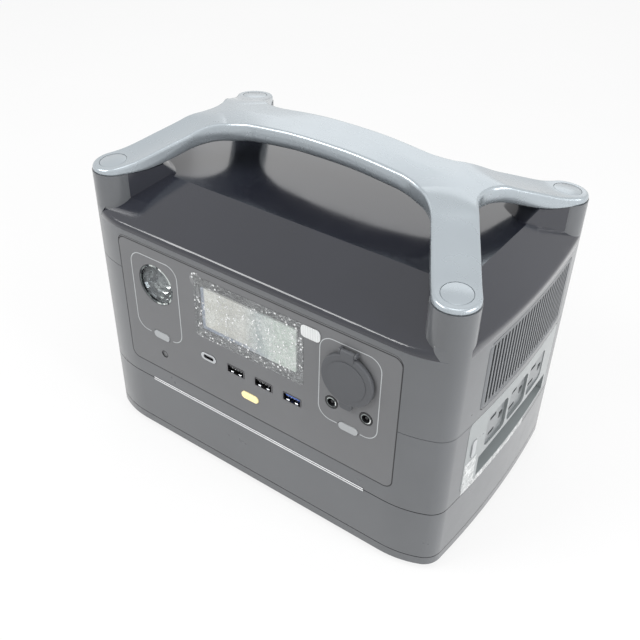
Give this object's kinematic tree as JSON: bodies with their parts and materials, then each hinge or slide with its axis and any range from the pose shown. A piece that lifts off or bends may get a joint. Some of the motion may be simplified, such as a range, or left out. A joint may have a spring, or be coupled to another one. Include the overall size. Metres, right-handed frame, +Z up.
{
  "type": "portable power station",
  "caption": "Portable battery power station with an arched carry handle, front ports and display, side outlets and vents, and a battery base section.",
  "frame": {"origin": "centre of the case outline on the surface that the feet stand on", "axes": "+Z up, +X to the right of the front, -Y the way the front panel faces"},
  "size_m": [0.2892, 0.188, 0.235],
  "materials": {
    "case_matte": "fine matte texture",
    "panel_matte": "smooth matte",
    "roof_gloss": "gloss",
    "handle_satin": "satin silver grey",
    "inner_black": "matte",
    "button_grey": "translucent grey",
    "button_lit": "lit pale yellow",
    "chrome": "polished",
    "steel": "brushed",
    "aluminium": "extruded",
    "clear": "clear",
    "lcd": "lit grey green",
    "film": "crinkled clear film",
    "tab_white": "ribbed white",
    "rubber": "soft matte",
    "blue": "gloss",
    "board_green": "solder mask",
    "cell_sleeve": "shrink sleeve",
    "nickel": "nickel plated",
    "print_grey": "printed line",
    "led": "phosphor"
  },
  "bodies": {
    "station": {"upper_case": "case_matte", "middle_case": "case_matte", "base_case": "case_matte", "base_tray": "case_matte", "roof_cover": "roof_gloss", "handle": "handle_satin", "handle_grip": "inner_black", "handle_screws": "steel", "handle_caps": "handle_satin", "feet": "rubber", "tray_screws": "steel", "seam_trim": "chrome", "front_panel": "panel_matte", "rear_panel": "case_matte", "tact_switches": "inner_black", "front_board": "board_green", "board_screws": "steel", "lamp_reflector": "chrome", "lamp_lens": "clear", "lamp_led": "led", "display_window": "clear", "lcd_pane": "lcd", "display_module": "inner_black", "screen_film": "film", "film_tab": "tab_white", "usb_shells": "steel", "usb_a_tongues": "inner_black", "usb_fast_tongue": "blue", "usb_c_port": "inner_black", "car_socket": "inner_black", "cap_hinge": "rubber", "dc_jacks": "inner_black", "ac_panel": "case_matte", "ac_outlets": "inner_black", "ledge_film": "film", "right_grille": "case_matte", "left_grille": "case_matte", "input_panel": "case_matte", "ac_inlet": "inner_black", "solar_inlet": "inner_black", "battery_cells": "cell_sleeve", "cell_holders": "inner_black", "cell_strips": "nickel", "battery_board": "board_green", "inverter_board": "board_green", "power_devices": "inner_black", "heat_sink": "aluminium", "fan_frames": "inner_black", "module_cells": "cell_sleeve", "module_holders": "inner_black", "module_board": "board_green", "dock_connector": "inner_black"},
    "lamp_button_body": {"lamp_button": "button_grey"},
    "power_button_body": {"power_button": "button_lit"},
    "dc_button_body": {"dc_button": "button_grey"},
    "reset_button_body": {"reset_button": "inner_black"},
    "ac_button_body": {"ac_button": "button_grey"},
    "socket_cap_body": {"socket_cap": "rubber"},
    "fan_front_body": {"fan_rotor_front": "inner_black"},
    "fan_rear_body": {"fan_rotor_rear": "inner_black"}
  },
  "joints": [
    {"name": "lamp_button_press", "type": "slide", "parent": "station", "child": "lamp_button_body", "axis": [0, 1, 0], "range_m": [0, 0.001], "stiffness_N_per_m": 600},
    {"name": "power_button_press", "type": "slide", "parent": "station", "child": "power_button_body", "axis": [0, 1, 0], "range_m": [0, 0.001], "stiffness_N_per_m": 600},
    {"name": "dc_button_press", "type": "slide", "parent": "station", "child": "dc_button_body", "axis": [0, 1, 0], "range_m": [0, 0.001], "stiffness_N_per_m": 600},
    {"name": "reset_button_press", "type": "slide", "parent": "station", "child": "reset_button_body", "axis": [0, 1, 0], "range_m": [0, 0.001], "stiffness_N_per_m": 600},
    {"name": "ac_button_press", "type": "slide", "parent": "station", "child": "ac_button_body", "axis": [-1, 0, 0], "range_m": [0, 0.001], "stiffness_N_per_m": 600},
    {"name": "socket_cap_hinge", "type": "hinge", "parent": "station", "child": "socket_cap_body", "pos_m": [0.0757, -0.0944, 0.156], "axis": [-1, 0, 0], "range_deg": [0, 150]},
    {"name": "fan_front_spin", "type": "hinge", "parent": "station", "child": "fan_front_body", "pos_m": [0.13, -0.022, 0.143], "axis": [1, 0, 0], "continuous": true},
    {"name": "fan_rear_spin", "type": "hinge", "parent": "station", "child": "fan_rear_body", "pos_m": [0.13, 0.032, 0.143], "axis": [1, 0, 0], "continuous": true}
  ]
}
